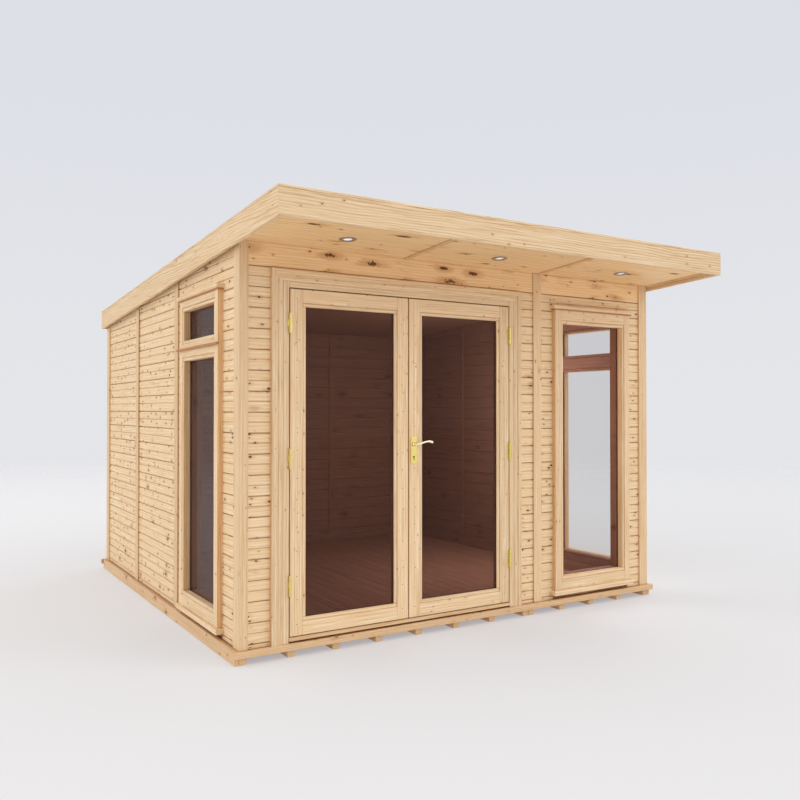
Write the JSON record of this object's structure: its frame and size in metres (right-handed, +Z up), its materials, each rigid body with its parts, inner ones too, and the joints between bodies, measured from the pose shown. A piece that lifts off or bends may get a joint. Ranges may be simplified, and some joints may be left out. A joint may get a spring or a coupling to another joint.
{
  "type": "garden office pod",
  "caption": "Timber garden room with a lean-to roof and front canopy, outward-opening glazed double doors, tall side windows with top lights and a raised timber base.",
  "frame": {"origin": "on the ground, under the middle of the roof's outline", "axes": "+X along the front from left to right, +Y from the front to the back, +Z up"},
  "size_m": [3.076, 3.618, 2.3038],
  "materials": {
    "base_timber": "rough sawn softwood",
    "floor_boards": "planed tongued boards",
    "cladding": "planed knotty pine boards",
    "trim_timber": "planed knotty pine",
    "joinery": "smooth planed pine",
    "fascia_timber": "planed knotty pine",
    "soffit_boards": "planed knotty pine",
    "roof_panel": "insulated timber panel",
    "roof_covering": "matt membrane",
    "glazing": "lightly tinted double glazing",
    "tinted_glazing": "tinted double glazing",
    "brass": "polished brass",
    "light_ring": "polished ring around a frosted lens"
  },
  "bodies": {
    "building": {"floor_bearers": "base_timber", "floor": "floor_boards", "front_rim_board": "base_timber", "back_rim_board": "base_timber", "side_rim_boards": "base_timber", "front_wall_left": "cladding", "front_wall_over_door": "cladding", "front_wall_middle": "cladding", "front_wall_right": "cladding", "left_wall_front": "cladding", "left_wall_rear_panels": "cladding", "right_wall_front": "cladding", "right_wall_rear_panels": "cladding", "back_wall_panels": "cladding", "front_corner_boards": "trim_timber", "back_corner_boards": "trim_timber", "wall_cover_strips": "trim_timber", "header_boards": "trim_timber", "door_frame": "joinery", "door_sill": "joinery", "door_architrave": "joinery", "frame_hinges": "brass", "front_window_frame": "joinery", "left_window_frame": "joinery", "right_window_frame": "joinery", "front_window_glass": "glazing", "left_window_glass": "glazing", "right_window_glass": "glazing", "window_hoods": "joinery", "window_sills": "joinery", "roof_deck": "roof_panel", "roof_covering": "roof_covering", "front_fascia": "fascia_timber", "back_fascia": "fascia_timber", "left_fascia": "fascia_timber", "right_fascia": "fascia_timber", "soffit_panels": "soffit_boards", "soffit_battens": "trim_timber", "downlights": "light_ring"},
    "left_door": {"left_door": "joinery", "left_door_glass": "tinted_glazing", "left_door_hinges": "brass"},
    "right_door": {"right_door": "joinery", "right_door_glass": "tinted_glazing", "right_door_hinges": "brass", "lock_plates": "brass"},
    "door_handle": {"door_levers": "brass"}
  },
  "joints": [
    {"name": "left_door_hinge", "type": "hinge", "parent": "building", "child": "left_door", "pos_m": [-1.2254, -1.2465, 1.02], "axis": [0, 0, -1], "range_deg": [0, 105]},
    {"name": "right_door_hinge", "type": "hinge", "parent": "building", "child": "right_door", "pos_m": [0.2516, -1.2465, 1.02], "axis": [0, 0, 1], "range_deg": [0, 105]},
    {"name": "door_handle_turn", "type": "hinge", "parent": "right_door", "child": "door_handle", "pos_m": [-0.4534, -1.217, 1.097], "axis": [0, 1, 0], "range_deg": [0, 35], "stiffness_Nm_per_rad": 1.5, "springref_deg": -17.19}
  ]
}
